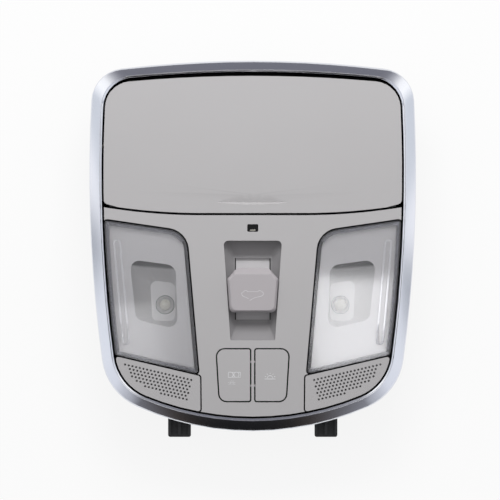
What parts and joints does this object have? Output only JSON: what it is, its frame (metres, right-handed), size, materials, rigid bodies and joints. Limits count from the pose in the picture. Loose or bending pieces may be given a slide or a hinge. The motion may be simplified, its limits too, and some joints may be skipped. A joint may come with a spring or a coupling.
{
  "type": "car dome light",
  "caption": "Overhead car console with map lamps under clear press lenses, a hinged sunglasses door, a sunroof knob and push buttons.",
  "frame": {"origin": "middle of the outline, hooks included, on the plane of the rear faces", "axes": "+Z out of the face, +Y from the lamp end with the hooks to the sunglasses end, +X to the right seen from the face"},
  "size_m": [0.1906, 0.2198, 0.053],
  "materials": {
    "bezel": "satin plated plastic",
    "face": "fine grained warm grey",
    "knob": "fine grained warm grey",
    "well": "fine grained warm grey",
    "slider": "matte mid grey",
    "window": "dark translucent",
    "tray": "matte dark grey",
    "felt": "flocked",
    "housing": "moulded black",
    "black_plastic": "moulded black",
    "white_plastic": "natural moulded",
    "bumper_rubber": "soft rubber",
    "lens": "clear with fine ribs at the rim",
    "mask": "silver painted",
    "reflector": "metallised",
    "optic": "clear, slightly warm",
    "board": "solder mask",
    "steel": "plain",
    "pin_brass": "bright"
  },
  "bodies": {
    "housing": {"bezel_ring": "bezel", "face_panel": "face", "sensor_window": "window", "sensor_module": "black_plastic", "latch_body": "black_plastic", "door_bumpers": "bumper_rubber", "damper_body": "black_plastic", "left_lamp_mask": "mask", "right_lamp_mask": "mask", "left_reflector": "reflector", "right_reflector": "reflector", "left_led_optic": "optic", "right_led_optic": "optic", "left_lamp_board": "board", "right_lamp_board": "board", "lens_switches": "black_plastic", "left_grille": "face", "right_grille": "face", "left_microphone": "bumper_rubber", "right_microphone": "bumper_rubber", "switch_well": "well", "sunroof_switch": "black_plastic", "button_switches": "black_plastic", "main_board": "board", "board_screws": "steel", "main_connector": "white_plastic", "connector_pins": "pin_brass", "rear_housing": "housing", "spring_clips": "steel"},
    "door": {"door_panel": "face", "glasses_tray": "tray", "tray_lining": "felt", "tray_screws": "steel", "latch_striker": "white_plastic", "hinge_pins": "steel"},
    "damper_gear": {"damper_pinion": "white_plastic"},
    "left_lens": {"left_lens": "lens"},
    "right_lens": {"right_lens": "lens"},
    "left_button": {"left_button": "face"},
    "right_button": {"right_button": "face"},
    "slider": {"knob_slider": "slider"},
    "knob": {"sunroof_knob": "knob"}
  },
  "joints": [
    {"name": "door_hinge", "type": "hinge", "parent": "housing", "child": "door", "pos_m": [0, 0.08175, 0.0408], "axis": [-1, 0, 0], "range_deg": [0, 60]},
    {"name": "damper_spin", "type": "hinge", "parent": "housing", "child": "damper_gear", "pos_m": [-0.0855, 0.0601, 0.0283], "axis": [-1, 0, 0], "range_deg": [-245, 5]},
    {"name": "left_lens_press", "type": "hinge", "parent": "housing", "child": "left_lens", "pos_m": [-0.04, -0.02825, 0.0455], "axis": [0, -1, 0], "range_deg": [0, 1.5], "stiffness_Nm_per_rad": 6},
    {"name": "right_lens_press", "type": "hinge", "parent": "housing", "child": "right_lens", "pos_m": [0.04, -0.02825, 0.0455], "axis": [0, 1, 0], "range_deg": [0, 1.5], "stiffness_Nm_per_rad": 6},
    {"name": "left_button_press", "type": "slide", "parent": "housing", "child": "left_button", "axis": [0, 0, -1], "range_m": [0, 0.0012], "stiffness_N_per_m": 2500},
    {"name": "right_button_press", "type": "slide", "parent": "housing", "child": "right_button", "axis": [0, 0, -1], "range_m": [0, 0.0012], "stiffness_N_per_m": 2500},
    {"name": "knob_slide", "type": "slide", "parent": "housing", "child": "slider", "axis": [0, 1, 0], "range_m": [-0.004, 0.004], "stiffness_N_per_m": 600},
    {"name": "knob_press", "type": "slide", "parent": "slider", "child": "knob", "axis": [0, 0, -1], "range_m": [0, 0.001], "stiffness_N_per_m": 2500}
  ],
  "couplings": [
    {"joint": "damper_spin", "follows": "door_hinge", "ratio": -4}
  ]
}
